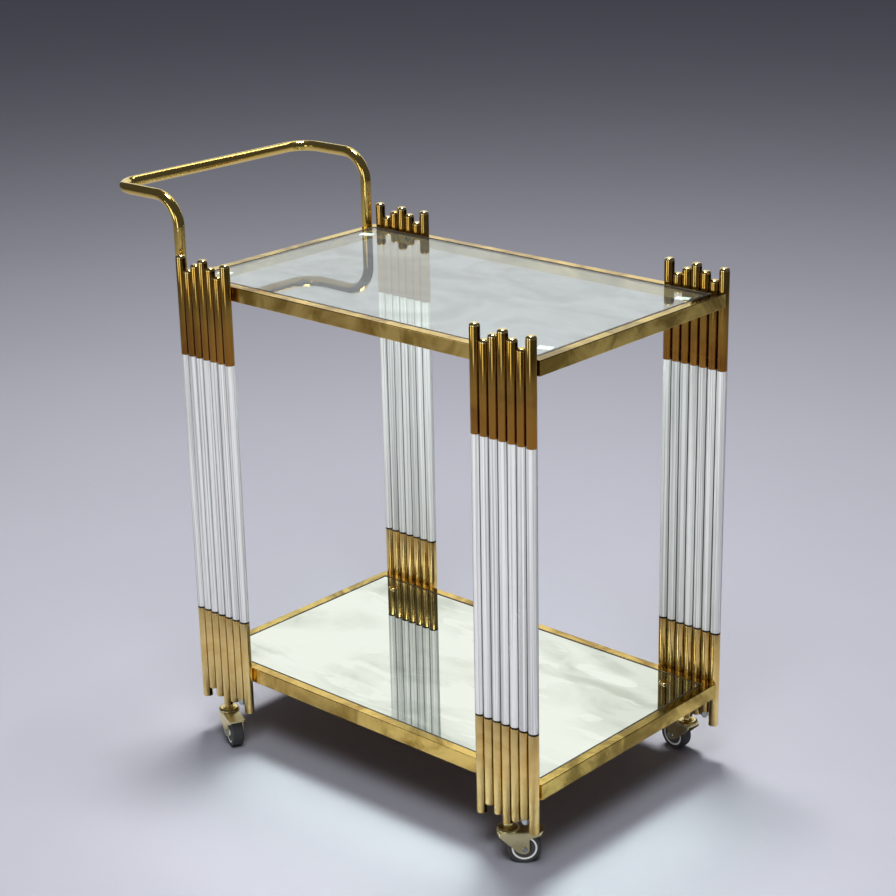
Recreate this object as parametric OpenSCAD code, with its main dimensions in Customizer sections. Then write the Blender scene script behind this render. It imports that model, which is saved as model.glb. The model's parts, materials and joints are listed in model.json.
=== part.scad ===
// Bar cart with glass top, mirror shelf, organ-pipe columns and swivel casters.
// +Z is up, +X runs along the cart away from the handle, the floor is Z = 0.

/* [Frame] */
// Length over the two end rails
frame_l = 732; // [600:1:900]
// Width over the two long rails
frame_w = 436; // [340:1:560]
// Width of every rail, seen from above
rail_w = 16; // [14:1:24]
// Wall of the rail tube
rail_wall = 1.5; // [1:0.1:2.5]
// Height of the top frame's rails
top_rail_h = 23; // [20:1:30]
// Height of the lower frame's rails
lower_rail_h = 25; // [20:1:30]
// Floor to the top of the top frame
top_z = 790.5; // [740:0.5:800]
// Floor to the top of the lower frame
lower_z = 143; // [135:0.5:160]
// Width of the ledge inside each rail
ledge_w = 8; // [6:1:14]
// Thickness of the ledge
ledge_t = 2; // [1.5:0.5:3]

/* [Shelves] */
// Thickness of the glass top
glass_t = 5; // [4:1:8]
// Thickness of the mirror glass
mirror_t = 4; // [3:1:6]
// Thickness of the board under the mirror
board_t = 9; // [6:1:12]
// Gap round each shelf
shelf_gap = 1; // [0.5:0.1:2]
// Depth of the shelves below the rail tops
shelf_drop = 0.5; // [0:0.1:2]

/* [Columns] */
// Outside diameter of the column tubes
tube_d = 16; // [14:0.5:16.5]
// Spacing of the tubes in a row
tube_pitch = 17; // [17:0.5:19]
// Wall of the gold sleeves
sleeve_wall = 1; // [0.8:0.1:1.5]
// Distance from the cart's middle to a column's middle tube, along the cart
column_x = 306.5; // [240:0.5:306.5]
// Floor to the top of the tall tubes
tube_top = 827; // [815:1:850]
// Drop of each tube's top from the tall ones, one value per tube in a row
top_drops = [0, 21, 10, 0, 10, 21, 0];
// Floor to the bottom of the long tubes
tube_bottom = 65; // [65:1:66]
// Rise of each tube's bottom from the long ones
bottom_rises = [0, 19.5, 10, 0, 10, 19.5, 0];
// Floor to the joint between the clear rod and the upper sleeve
upper_joint = 665.5; // [600:0.5:720]
// Floor to the joint between the clear rod and the lower sleeve
lower_joint = 226.5; // [210:0.5:300]
// Height of the dark ring at the lower joint
ring_h = 3; // [2:0.5:5]
// How far the clear rod reaches into each sleeve
spigot_l = 32; // [30:1:40]
// Diameter of the tie rods that run through a row
tie_d = 3; // [2:0.5:4]

/* [Handle] */
// Diameter of the handle tube
handle_d = 18; // [16:1:22]
// Wall of the handle tube
handle_wall = 1.2; // [1:0.1:2]
// Floor to the centreline of the handle bar
handle_z = 911.5; // [880:0.5:960]
// End rail's face to the centreline of the handle bar
handle_reach = 161; // [120:1:200]
// Distance between the centrelines of the handle's two legs
handle_w = 420; // [300:1:420]
// Radius of the bend from leg to arm
leg_bend = 48; // [30:1:60]
// Radius of the bend from arm to bar
bar_bend = 40; // [30:1:60]

/* [Casters] */
// Diameter of the wheels
wheel_d = 50; // [46:1:50]
// Width of the tyre
tyre_w = 20; // [18:0.5:21]
// Offset of the wheel's axle from the swivel axis
trail = 24; // [20:0.5:26]
// Inside width of the fork
fork_in = 24; // [23:0.5:26]
// Thickness of the fork's sheet
fork_t = 2; // [1.5:0.1:2]
// Direction in which each wheel trails: front right, front left, back right, back left
yaws = [42.4, -25.7, 172.8, 25.7];

/* [Hidden] */
$fn = 48;

// The origin is below the middle of the cart and its handle together.
cart_x = (handle_reach + handle_d / 2) / 2;
// Corners as [x sign, y sign]: front right, front left, back right, back left.
corners = [[1, -1], [-1, -1], [1, 1], [-1, 1]];
back_corners = [corners[2], corners[3]];
tubes = len(top_drops);
tube_r = tube_d / 2;
bore_r = tube_r - sleeve_wall;
spigot_r = bore_r - 0.05;
row_y = frame_w / 2 + tube_r;
dome_edge_r = 5;
dome_h = dome_edge_r;
cap_plug_l = 8;
tie_up_z = upper_joint + spigot_l / 2;
tie_depth = 25;
tie_down_z = lower_joint - tie_depth;
plug_t = 4;
plug_recess = 1;
nut_tube = 5;
plugged_tubes = [0, 1, 2, 4, 6];
tie_nut_h = 7;
tie_tail = 4;
// Length added to a cutter so that it comes out past the face it cuts
past = 1;

// Shelf insides of the frame
inside_l = frame_l - 2 * rail_w;
inside_w = frame_w - 2 * rail_w;
shelf_l = inside_l - 2 * shelf_gap;
shelf_w = inside_w - 2 * shelf_gap;
glass_top = top_z - shelf_drop;
mirror_top = lower_z - shelf_drop;
board_top = mirror_top - mirror_t;
pad_at = [328, 161];
pad_size = [22, 14, 1];
pad_turn = 20;
cap_at = [300, 170];
cap_r = 9;
cap_h = 3;
cap_edge_r = 2;
cap_screw_gap = 2;
strip_gap = 1;

// Screws that hold the rails to the tubes and the handle to the end rail
screw_r = 2.5;
head_r = 4.5;
head_h = 2.5;
screw_bite = 4;
screw_tubes = [-2, 2];
top_screw_rise = 9.5;
lower_screw_rise = 4.5;
top_screw_z = top_z - top_rail_h + top_screw_rise;
lower_screw_z = lower_z - lower_rail_h + lower_screw_rise;
handle_screw_z = top_z - top_rail_h / 2;

// Handle
leg_x = -frame_l / 2 - handle_d / 2;
bar_x = -frame_l / 2 - handle_reach;
leg_rise = 2;
leg_bottom = top_z - top_rail_h + leg_rise;
handle_cap_t = 3;
handle_screw_tail = 3;
handle_screw_l = rail_w + handle_wall + handle_screw_tail;

// Caster: heights above the floor
axle_z = wheel_d / 2;
wheel_room = 1.5;
crown_z = wheel_d + wheel_room;
crown_t = 2.5;
crown_top = crown_z + crown_t;
race_room = 0.5;
race_h = 5;
race_rim_z = crown_top + race_room;
race_top = crown_top + race_h;
race_r = 17;
race_wall = 1.5;
race_slope = 3;
stem_r = 4;
stem_head_r = 6.5;
stem_head_h = 3;
stem_up = 28;
socket_l = 30;
run_gap = 0.05;
free_gap = 0.3;
ball_r = 1.7;
ball_ring_r = 11;
balls = 12;
hood_end = 52;
hood_flat = 10;
leg_foot_r = 7.3;
// Where the fork's straight back edge meets the round foot, as shares of the foot's radius
foot_back = 0.78;
foot_down = 0.62;
fork_back = 16.5;
skirt_h = 2;
hood_h = 9;
axle_r = 3;
axle_head_r = 4.5;
axle_head_h = 2;
core_r = 19.3;
tyre_fit = 0.06;
hub_r = 7;
disc_r = 16.4;
core_w = tyre_w - 2;
disc_t = 2;
groove_w = 1;
groove_h = 0.6;
groove_at = 4;
tyre_round = 2.5;
nut_flats = 13;
nut_r = nut_flats / sqrt(3);

// ---------- placing ----------
module on_cart() {
    translate([cart_x, 0, 0]) children();
}

module at_column(c) {
    on_cart() translate([c[0] * column_x, c[1] * row_y, 0]) children();
}

// Every column in turn
module each_column() {
    for (c = corners) at_column(c) children();
}

// Tube number i of a row, counted from 0 at the low X end
module at_tube(i) {
    translate([(i - (tubes - 1) / 2) * tube_pitch, 0, 0]) children();
}

// A caster's own frame: X along the trail, Y along the axle
module at_caster(k) {
    at_column(corners[k]) rotate([0, 0, yaws[k]]) children();
}

// A cylinder that lies along Y, from y0 to y1
module bar_y(r, y0, y1) {
    translate([0, y1, 0]) rotate([90, 0, 0]) cylinder(r = r, h = y1 - y0);
}

// ---------- frame ----------
// A rectangular tube along X with mitred ends: its outer face is at y = -width / 2
module mitred_rail(len, width, rail_h) {
    reach = 2 * rail_w;
    difference() {
        translate([-len / 2, -width / 2, 0]) cube([len, rail_w, rail_h]);
        translate([-len / 2 - past, -width / 2 + rail_wall, rail_wall])
            cube([len + 2 * past, rail_w - 2 * rail_wall, rail_h - 2 * rail_wall]);
        for (s = [-1, 1])
            translate([s * len / 2, -width / 2, -past])
                rotate([0, 0, s > 0 ? 45 : 135]) translate([0, -reach, 0])
                    cube([2 * reach, 2 * reach, rail_h + 2 * past]);
    }
}

// One rail of a frame: the turn picks the side, 0 front, 90 right, 180 back, 270 left
module frame_rail(turn, z_top, rail_h) {
    long = turn % 180 == 0;
    on_cart() translate([0, 0, z_top - rail_h]) rotate([0, 0, turn])
        mitred_rail(long ? frame_l : frame_w, long ? frame_w : frame_l, rail_h);
}

module top_rail(turn) {
    color("goldenrod") difference() {
        frame_rail(turn, top_z, top_rail_h);
        if (turn % 180 == 0) rail_screws(top_screw_z);
        if (turn == 270) handle_screws();
    }
}

module lower_rail(turn) {
    color("goldenrod") difference() {
        frame_rail(turn, lower_z, lower_rail_h);
        if (turn % 180 == 0) rail_screws(lower_screw_z);
    }
}

// Four separate strips inside a frame that carry its shelf
module ledge(z_top) {
    end_l = inside_w - 2 * ledge_w - 2 * strip_gap;
    color("darkgoldenrod") on_cart() for (s = [-1, 1]) {
        translate([-inside_l / 2, s * (inside_w - ledge_w) / 2 - ledge_w / 2, z_top - ledge_t])
            cube([inside_l, ledge_w, ledge_t]);
        translate([s * (inside_l - ledge_w) / 2 - ledge_w / 2, -end_l / 2, z_top - ledge_t])
            cube([ledge_w, end_l, ledge_t]);
    }
}

// ---------- shelves ----------
module panel(z_top, thick) {
    on_cart() translate([-shelf_l / 2, -shelf_w / 2, z_top - thick]) cube([shelf_l, shelf_w, thick]);
}

module top_glass() {
    color([0.8, 0.92, 0.88, 0.5]) panel(glass_top, glass_t);
}

module glass_pads() {
    color("white") on_cart() for (c = corners)
        translate([c[0] * pad_at[0], c[1] * pad_at[1], glass_top - glass_t - pad_size[2]])
            rotate([0, 0, pad_turn])
                translate([-pad_size[0] / 2, -pad_size[1] / 2, 0]) cube(pad_size);
}

module mirror_panel() {
    color([0.85, 0.9, 0.87]) difference() {
        panel(mirror_top, mirror_t);
        cap_screws(0);
    }
}

module backing_board() {
    color("saddlebrown") difference() {
        panel(board_top, board_t);
        cap_screws(0);
    }
}

// Shanks of the cap screws, from the mirror down into the board
module cap_screws(extra) {
    on_cart() for (c = back_corners)
        translate([c[0] * cap_at[0], c[1] * cap_at[1], board_top - board_t + cap_screw_gap])
            cylinder(r = screw_r, h = board_t - cap_screw_gap + mirror_t + extra);
}

// Two low round caps at the back of the mirror, each with its screw shank
module mirror_caps() {
    color("gold") union() {
        cap_screws(cap_h / 2);
        on_cart() for (c = back_corners)
            translate([c[0] * cap_at[0], c[1] * cap_at[1], mirror_top])
                rotate_extrude() union() {
                    square([cap_r - cap_edge_r, cap_h]);
                    square([cap_r, cap_h - cap_edge_r]);
                    translate([cap_r - cap_edge_r, cap_h - cap_edge_r]) intersection() {
                        circle(r = cap_edge_r);
                        square(cap_edge_r);
                    }
                }
    }
}

// ---------- columns ----------
// The two tie rods of one row, ending inside its outer tubes
module row_tie_rods(r) {
    half = (tubes - 1) / 2 * tube_pitch + bore_r / 2;
    for (z = [tie_up_z, tie_down_z])
        translate([-half, 0, z]) rotate([0, 90, 0]) cylinder(r = r, h = 2 * half);
}

module tie_rods() {
    color("khaki") each_column() row_tie_rods(tie_d / 2);
}

module upper_sleeves(c) {
    color("goldenrod") difference() {
        at_column(c) difference() {
            for (i = [0 : tubes - 1]) at_tube(i) translate([0, 0, upper_joint]) difference() {
                cylinder(r = tube_r, h = tube_top - top_drops[i] - dome_h - upper_joint);
                translate([0, 0, -past])
                    cylinder(r = bore_r, h = tube_top - top_drops[i] - upper_joint);
            }
            row_tie_rods(tie_d / 2);
        }
        rail_screws(top_screw_z);
    }
}

module lower_sleeves(c) {
    color("gold") difference() {
        at_column(c) difference() {
            for (i = [0 : tubes - 1]) at_tube(i) translate([0, 0, tube_bottom + bottom_rises[i]])
                difference() {
                    cylinder(r = tube_r, h = lower_joint - tube_bottom - bottom_rises[i]);
                    translate([0, 0, -past]) cylinder(r = bore_r, h = lower_joint);
                }
            row_tie_rods(tie_d / 2);
        }
        rail_screws(lower_screw_z);
    }
}

// Clear rods, with a thinner spigot at each end that the sleeves hold
module clear_rods(c) {
    color([0.92, 0.95, 0.97, 0.6]) at_column(c) difference() {
        for (i = [0 : tubes - 1]) at_tube(i) union() {
            translate([0, 0, lower_joint - spigot_l])
                cylinder(r = spigot_r, h = upper_joint - lower_joint + 2 * spigot_l);
            translate([0, 0, lower_joint + ring_h])
                cylinder(r = tube_r, h = upper_joint - lower_joint - ring_h);
        }
        row_tie_rods(tie_d / 2);
    }
}

module seam_rings() {
    color("dimgray") each_column() for (i = [0 : tubes - 1]) at_tube(i)
        translate([0, 0, lower_joint]) difference() {
            cylinder(r = tube_r, h = ring_h);
            translate([0, 0, -past]) cylinder(r = spigot_r, h = ring_h + 2 * past);
        }
}

// Domed caps, each with a plug that sits in its sleeve
module dome_caps() {
    color("gold") each_column() for (i = [0 : tubes - 1]) at_tube(i)
        translate([0, 0, tube_top - top_drops[i] - dome_h]) rotate_extrude() union() {
            square([tube_r - dome_edge_r, dome_h]);
            translate([tube_r - dome_edge_r, 0]) intersection() {
                circle(r = dome_edge_r);
                square(dome_edge_r);
            }
            translate([0, -cap_plug_l]) square([bore_r, cap_plug_l]);
        }
}

// Plugs in the open ends of all tubes but the middle one and the one with the nut
module end_plugs() {
    color("black") each_column() for (i = plugged_tubes) at_tube(i)
        translate([0, 0, tube_bottom + bottom_rises[i] + plug_recess])
            cylinder(r = bore_r, h = plug_t);
}

// The tie bolt of the sixth tube, with its nut under the tube
module tie_nuts() {
    foot = tube_bottom + bottom_rises[nut_tube];
    color("silver") each_column() at_tube(nut_tube) union() {
        translate([0, 0, foot - tie_nut_h]) cylinder(r = nut_r, h = tie_nut_h, $fn = 6);
        translate([0, 0, foot - tie_nut_h - tie_tail])
            cylinder(r = stem_r, h = tie_nut_h + tie_tail);
        translate([0, 0, foot]) cylinder(r = bore_r, h = plug_t);
    }
}

// Screws from the inner face of the long rails into the second and sixth tube of each row
module rail_screws(z) {
    shank = rail_w + screw_bite;
    for (c = corners, t = screw_tubes)
        on_cart() translate([c[0] * column_x + t * tube_pitch, 0, z])
            mirror([0, c[1] < 0 ? 1 : 0, 0]) bar_y(screw_r, inside_w / 2, inside_w / 2 + shank);
}

module rail_screw_heads(z) {
    for (c = corners, t = screw_tubes)
        on_cart() translate([c[0] * column_x + t * tube_pitch, 0, z])
            mirror([0, c[1] < 0 ? 1 : 0, 0]) bar_y(head_r, inside_w / 2 - head_h, inside_w / 2);
}

// Screws from inside the left end rail into the handle's legs
module handle_screws() {
    for (s = [-1, 1])
        on_cart() translate([-inside_l / 2, s * handle_w / 2, handle_screw_z]) rotate([0, -90, 0])
            cylinder(r = screw_r, h = handle_screw_l);
}

module frame_screws() {
    color("silver") union() {
        rail_screws(top_screw_z);
        rail_screws(lower_screw_z);
        rail_screw_heads(top_screw_z);
        rail_screw_heads(lower_screw_z);
        handle_screws();
    }
}

// ---------- handle ----------
// A quarter of a torus in the XY plane: from +X round to +Y, about the origin
module elbow(bend, r) {
    rotate_extrude(angle = 90) translate([bend, 0]) circle(r = r);
}

// One half of the handle, from a leg's foot to the middle of the bar
module half_handle(r, foot) {
    half_w = handle_w / 2;
    arm_0 = leg_x - leg_bend;
    arm_1 = bar_x + bar_bend;
    translate([leg_x, half_w, foot]) cylinder(r = r, h = handle_z - leg_bend - foot);
    translate([leg_x - leg_bend, half_w, handle_z - leg_bend]) rotate([90, 0, 0]) elbow(leg_bend, r);
    translate([arm_1, half_w, handle_z]) rotate([0, 90, 0]) cylinder(r = r, h = arm_0 - arm_1);
    translate([arm_1, half_w - bar_bend, handle_z]) rotate([0, 0, 90]) elbow(bar_bend, r);
    translate([bar_x, 0, handle_z]) rotate([-90, 0, 0]) cylinder(r = r, h = half_w - bar_bend);
}

module bent_tube(r, foot) {
    union() {
        half_handle(r, foot);
        mirror([0, 1, 0]) half_handle(r, foot);
    }
}

module handle() {
    color("goldenrod") difference() {
        on_cart() difference() {
            bent_tube(handle_d / 2, leg_bottom);
            bent_tube(handle_d / 2 - handle_wall, leg_bottom + handle_cap_t);
        }
        handle_screws();
    }
}

// ---------- casters: fixed parts ----------
// Threaded sockets in the middle tubes
module stem_sockets() {
    color("gray") each_column() translate([0, 0, tube_bottom]) difference() {
        cylinder(r = bore_r, h = socket_l);
        translate([0, 0, -past]) cylinder(r = stem_r, h = socket_l + 2 * past);
    }
}

// King pins: a head under the fork's crown and a stem up into the socket
module caster_stems() {
    color("silver") each_column() union() {
        translate([0, 0, crown_z - free_gap - stem_head_h]) cylinder(r = stem_head_r, h = stem_head_h);
        translate([0, 0, crown_z - free_gap]) cylinder(r = stem_r, h = tube_bottom + stem_up - crown_z);
    }
}

module caster_nuts() {
    color("gold") each_column() translate([0, 0, race_top]) difference() {
        cylinder(r = nut_r, h = tube_bottom - race_top, $fn = 6);
        translate([0, 0, -past]) cylinder(r = stem_r, h = tube_bottom - race_top + 2 * past);
    }
}

// Dished plates over the balls
module race_plates() {
    color("gold") each_column() rotate_extrude() polygon([
        [stem_r, race_top - race_wall],
        [race_r - race_slope - race_wall, race_top - race_wall],
        [race_r - race_wall, race_top - race_slope - race_wall / 3],
        [race_r - race_wall, race_rim_z],
        [race_r, race_rim_z],
        [race_r, race_top - race_slope],
        [race_r - race_slope, race_top],
        [stem_r, race_top]
    ]);
}

module race_balls() {
    color("silver") each_column() for (a = [0 : balls - 1])
        rotate([0, 0, a * 360 / balls]) translate([ball_ring_r, 0, race_top - race_wall - ball_r])
            sphere(r = ball_r);
}

// ---------- casters: swivelling parts ----------
// Side of the fork in the XZ plane: X is along the trail, Y stands for height
module fork_side_outline() {
    union() {
        polygon([
            [-fork_back, crown_top],
            [-fork_back, crown_z - skirt_h],
            [trail - leg_foot_r * foot_back, axle_z - leg_foot_r * foot_down],
            [trail + leg_foot_r, axle_z],
            [trail + leg_foot_r, crown_z - hood_h],
            [hood_end - hood_flat, crown_z - 3 * skirt_h],
            [hood_end - skirt_h, crown_z - skirt_h],
            [hood_end, crown_top]
        ]);
        translate([trail, axle_z]) circle(r = leg_foot_r);
    }
}

module fork(k) {
    fork_out = fork_in + 2 * fork_t;
    color("gold") at_caster(k) difference() {
        union() {
            for (s = [-1, 1])
                translate([0, s > 0 ? fork_out / 2 : -fork_in / 2, 0]) rotate([90, 0, 0])
                    linear_extrude(fork_t) fork_side_outline();
            translate([0, -fork_out / 2, crown_z]) cube([hood_end, fork_out, crown_t]);
            translate([0, 0, crown_z]) cylinder(r = race_r, h = crown_t);
        }
        translate([0, 0, crown_z - past]) cylinder(r = stem_r + run_gap, h = crown_t + 2 * past);
        translate([trail, 0, axle_z]) bar_y(axle_r, -fork_out / 2 - past, fork_out / 2 + past);
    }
}

module axle(k) {
    half = fork_in / 2 + fork_t;
    color("silver") at_caster(k) translate([trail, 0, axle_z]) union() {
        bar_y(axle_r, -half, half);
        bar_y(axle_head_r, -half - axle_head_h, -half);
        bar_y(axle_head_r, half, half + axle_head_h);
    }
}

// ---------- casters: turning parts ----------
// Turns a profile drawn as [radius, width] about the axle
module about_axle(k) {
    at_caster(k) translate([trail, 0, axle_z]) rotate([90, 0, 0]) rotate_extrude() children();
}

module disc_outlines() {
    for (s = [-1, 1])
        translate([hub_r, s > 0 ? core_w / 2 - disc_t : -core_w / 2]) square([disc_r - hub_r, disc_t]);
}

module wheel_core(k) {
    hub_w = fork_in - 2 * free_gap;
    color("white") about_axle(k) difference() {
        union() {
            translate([0, -core_w / 2]) square([core_r, core_w]);
            translate([0, -hub_w / 2]) square([hub_r, hub_w]);
        }
        translate([0, -hub_w]) square([axle_r + run_gap, 2 * hub_w]);
        disc_outlines();
    }
}

// Dark discs let into both faces of the core
module hub_discs(k) {
    color("dimgray") about_axle(k) disc_outlines();
}

module tyre(k) {
    wheel_r = wheel_d / 2;
    bore = core_r + tyre_fit;
    color([0.2, 0.2, 0.2]) about_axle(k) difference() {
        union() {
            translate([bore, -tyre_w / 2]) square([wheel_r - tyre_round - bore, tyre_w]);
            translate([bore, -tyre_w / 2 + tyre_round])
                square([wheel_r - bore, tyre_w - 2 * tyre_round]);
            for (s = [-1, 1])
                translate([wheel_r - tyre_round, s * (tyre_w / 2 - tyre_round)]) circle(r = tyre_round);
        }
        for (s = [-1, 1])
            translate([wheel_r - groove_h, s * groove_at - groove_w / 2])
                square([groove_h + past, groove_w]);
    }
}

top_rail(0);  // top_rail_front
top_rail(90);  // top_rail_right
top_rail(180);  // top_rail_back
top_rail(270);  // top_rail_left
lower_rail(0);  // lower_rail_front
lower_rail(90);  // lower_rail_right
lower_rail(180);  // lower_rail_back
lower_rail(270);  // lower_rail_left
ledge(glass_top - glass_t);  // top_ledge
ledge(board_top - board_t);  // lower_ledge
top_glass();
glass_pads();
mirror_panel();
backing_board();
mirror_caps();
handle();
frame_screws();
upper_sleeves(corners[0]);  // upper_sleeves_fr
upper_sleeves(corners[1]);  // upper_sleeves_fl
upper_sleeves(corners[2]);  // upper_sleeves_br
upper_sleeves(corners[3]);  // upper_sleeves_bl
clear_rods(corners[0]);  // clear_rods_fr
clear_rods(corners[1]);  // clear_rods_fl
clear_rods(corners[2]);  // clear_rods_br
clear_rods(corners[3]);  // clear_rods_bl
lower_sleeves(corners[0]);  // lower_sleeves_fr
lower_sleeves(corners[1]);  // lower_sleeves_fl
lower_sleeves(corners[2]);  // lower_sleeves_br
lower_sleeves(corners[3]);  // lower_sleeves_bl
dome_caps();
seam_rings();
end_plugs();
tie_rods();
tie_nuts();
stem_sockets();
caster_stems();
caster_nuts();
race_plates();
race_balls();
fork(0);  // fork_fr
fork(1);  // fork_fl
fork(2);  // fork_br
fork(3);  // fork_bl
axle(0);  // axle_fr
axle(1);  // axle_fl
axle(2);  // axle_br
axle(3);  // axle_bl
wheel_core(0);  // wheel_core_fr
wheel_core(1);  // wheel_core_fl
wheel_core(2);  // wheel_core_br
wheel_core(3);  // wheel_core_bl
hub_discs(0);  // hub_discs_fr
hub_discs(1);  // hub_discs_fl
hub_discs(2);  // hub_discs_br
hub_discs(3);  // hub_discs_bl
tyre(0);  // tyre_fr
tyre(1);  // tyre_fl
tyre(2);  // tyre_br
tyre(3);  // tyre_bl
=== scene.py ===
import json
import math

import bmesh
import bpy
from bpy.props import FloatProperty, FloatVectorProperty, IntProperty, PointerProperty
from bpy.types import Operator, Panel, PropertyGroup
from mathutils import Matrix, Vector


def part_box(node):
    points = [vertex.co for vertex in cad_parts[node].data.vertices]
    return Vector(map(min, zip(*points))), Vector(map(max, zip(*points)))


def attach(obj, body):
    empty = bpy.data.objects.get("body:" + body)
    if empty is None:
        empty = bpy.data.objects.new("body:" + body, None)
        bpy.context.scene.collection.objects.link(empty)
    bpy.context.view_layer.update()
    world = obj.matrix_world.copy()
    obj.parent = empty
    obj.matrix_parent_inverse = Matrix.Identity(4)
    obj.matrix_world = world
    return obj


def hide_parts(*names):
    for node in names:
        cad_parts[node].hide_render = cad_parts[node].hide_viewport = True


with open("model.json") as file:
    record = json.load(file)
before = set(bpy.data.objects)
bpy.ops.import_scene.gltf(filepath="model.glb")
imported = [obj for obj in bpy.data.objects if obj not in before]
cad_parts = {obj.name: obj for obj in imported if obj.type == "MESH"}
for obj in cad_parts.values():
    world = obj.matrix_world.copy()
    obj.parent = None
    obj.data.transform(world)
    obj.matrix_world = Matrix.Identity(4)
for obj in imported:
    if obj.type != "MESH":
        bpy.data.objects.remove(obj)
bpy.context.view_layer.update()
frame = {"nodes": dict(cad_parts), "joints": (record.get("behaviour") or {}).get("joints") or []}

bl_info = {
    "name": "Bar cart",
    "version": (1, 0, 0),
    "blender": (4, 5, 0),
    "location": "3D View > Sidebar > Bar cart",
    "description": "Builds a two-shelf bar cart with organ-pipe columns on swivel casters",
    "category": "Object",
}

MM = 0.001
FULL_TURN = 2 * math.pi
QUARTER = math.pi / 2
COLUMNS = {"fr": "front_right", "fl": "front_left", "br": "back_right", "bl": "back_left"}
SIDES = {"front": 0, "right": 1, "back": 2, "left": 3}
TUBES = 7
ROUND_STEPS = 40
# Heights between which the upper sleeves change to their crest tone, a painted lighter reflection towards
# their caps
CREST_FROM = 665 * MM
CREST_TO = 840 * MM
# Tubes of a row, counted from 0: the two that the rail screws reach, and the one with the tie bolt
SCREW_TUBES = (1, 5)
NUT_TUBE = 5
# Height of the rail screws above the foot of their rail
SCREW_RISES = {"top": 9.5 * MM, "lower": 4.5 * MM}
NUT_RADIUS = 7.5 * MM
TIE_NUT_HEIGHT = 7 * MM
TIE_TAIL = 4 * MM
SPIGOT_PLAY = 0.05 * MM
TUBE_LIP = 0.25 * MM
CAP_PLUG = 8 * MM
PAD_LENGTH = 22 * MM
PAD_WIDTH = 14 * MM
PAD_HEIGHT = 1 * MM
PAD_TURN = math.radians(20)
MIRROR_CAP_RADIUS = 9 * MM
HANDLE_RADIUS = 9 * MM
FORK_INSIDE = 24 * MM
FORK_SHEET = 2 * MM
RACE_RADIUS = 17 * MM
TYRE_RADIUS = 25 * MM
TYRE_BORE = 19.36 * MM
TYRE_WIDTH = 20 * MM


# ---------- what the frame says ----------
def row_of_tubes(node):
    """(x, y, lowest, highest) of each tube of a column, read from the frame."""
    low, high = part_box(node)
    width = high.y - low.y
    pitch = (high.x - low.x - width) / (TUBES - 1)
    points = [v.co.copy() for v in frame["nodes"][node].data.vertices]
    row = []
    for i in range(TUBES):
        x = low.x + width / 2 + i * pitch
        heights = [p.z for p in points if abs(p.x - x) < pitch / 2]
        row.append((x, (low.y + high.y) / 2, min(heights), max(heights)))
    return row


def caster_place(corner):
    """The swivel's foot and the axle's middle of one caster, and its heading in radians."""
    spots = {j["name"]: Vector(j["pos_m"]) for j in frame["joints"]}
    swivel = spots["swivel_" + COLUMNS[corner]]
    axle = spots["roll_" + COLUMNS[corner]]
    trail = axle - swivel
    return swivel, axle, math.atan2(trail.y, trail.x)


# ---------- shapes ----------
def mm(*points):
    """Outline points given in millimetres."""
    return [tuple(value * MM for value in point) for point in points]


def outline(bm, points, closed, upright=True):
    """Draws a line through (a, b, corner) points in XZ or XY, rounding each corner by its last value."""
    drawn = []
    for a, b, _ in points:
        drawn.append(bm.verts.new((a, 0, b) if upright else (a, b, 0)))
    ends = drawn[1:] + (drawn[:1] if closed else [])
    for first, second in zip(drawn, ends):
        bm.edges.new((first, second))
    for corner in sorted({c for _, _, c in points if c > 0}):
        picked = [v for v, point in zip(drawn, points) if point[2] == corner]
        steps = 2 if corner < 0.6 * MM else 5
        bmesh.ops.bevel(
            bm, geom=picked, offset=corner, segments=steps, profile=0.5,
            affect="VERTICES", material=-1, clamp_overlap=True,
        )


def tidy(bm):
    """Merges doubled points and turns every face outwards."""
    bmesh.ops.remove_doubles(bm, verts=bm.verts, dist=1e-6)
    bmesh.ops.recalc_face_normals(bm, faces=bm.faces)
    return bm


def turned(points, closed=False, steps=ROUND_STEPS):
    """A round body about Z from its half outline; a closed outline makes a hollow one."""
    bm = bmesh.new()
    outline(bm, points, closed)
    bmesh.ops.spin(
        bm, geom=bm.verts[:] + bm.edges[:], cent=(0, 0, 0), axis=(0, 0, 1),
        angle=FULL_TURN, steps=steps, use_merge=True,
    )
    return tidy(bm)


def plate(points, thickness):
    """A flat plate in XY, from z = 0 up."""
    bm = bmesh.new()
    outline(bm, points, True, upright=False)
    bmesh.ops.contextual_create(bm, geom=bm.edges[:])
    grown = bmesh.ops.extrude_face_region(bm, geom=bm.faces[:])
    lifted = [g for g in grown["geom"] if isinstance(g, bmesh.types.BMVert)]
    bmesh.ops.translate(bm, vec=(0, 0, thickness), verts=lifted)
    return tidy(bm)


def block(size, corner=0.0, segments=3):
    """A cuboid about the origin with rounded edges."""
    bm = bmesh.new()
    bmesh.ops.create_cube(bm, size=1)
    bmesh.ops.scale(bm, vec=size, verts=bm.verts)
    if corner > 0:
        bmesh.ops.bevel(
            bm, geom=bm.edges[:], offset=corner, segments=segments, profile=0.5,
            affect="EDGES", material=-1, clamp_overlap=True,
        )
    return tidy(bm)


def soften(bm, angle, width, segments=2):
    """Rounds every edge sharper than the angle."""
    sharp = [e for e in bm.edges if len(e.link_faces) == 2 and e.calc_face_angle(0) > angle]
    bmesh.ops.bevel(
        bm, geom=sharp, offset=width, segments=segments, profile=0.5,
        affect="EDGES", material=-1, clamp_overlap=True,
    )
    return bm


def add(target, part, place=Matrix.Identity(4)):
    """Puts a part into the target at its place, and uses the part up."""
    mesh = bpy.data.meshes.new("part")
    part.to_mesh(mesh)
    part.free()
    mesh.transform(place)
    target.from_mesh(mesh)
    bpy.data.meshes.remove(mesh)
    return target


def moved(x, y, z):
    """A move without a turn."""
    return Matrix.Translation((x, y, z))


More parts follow.
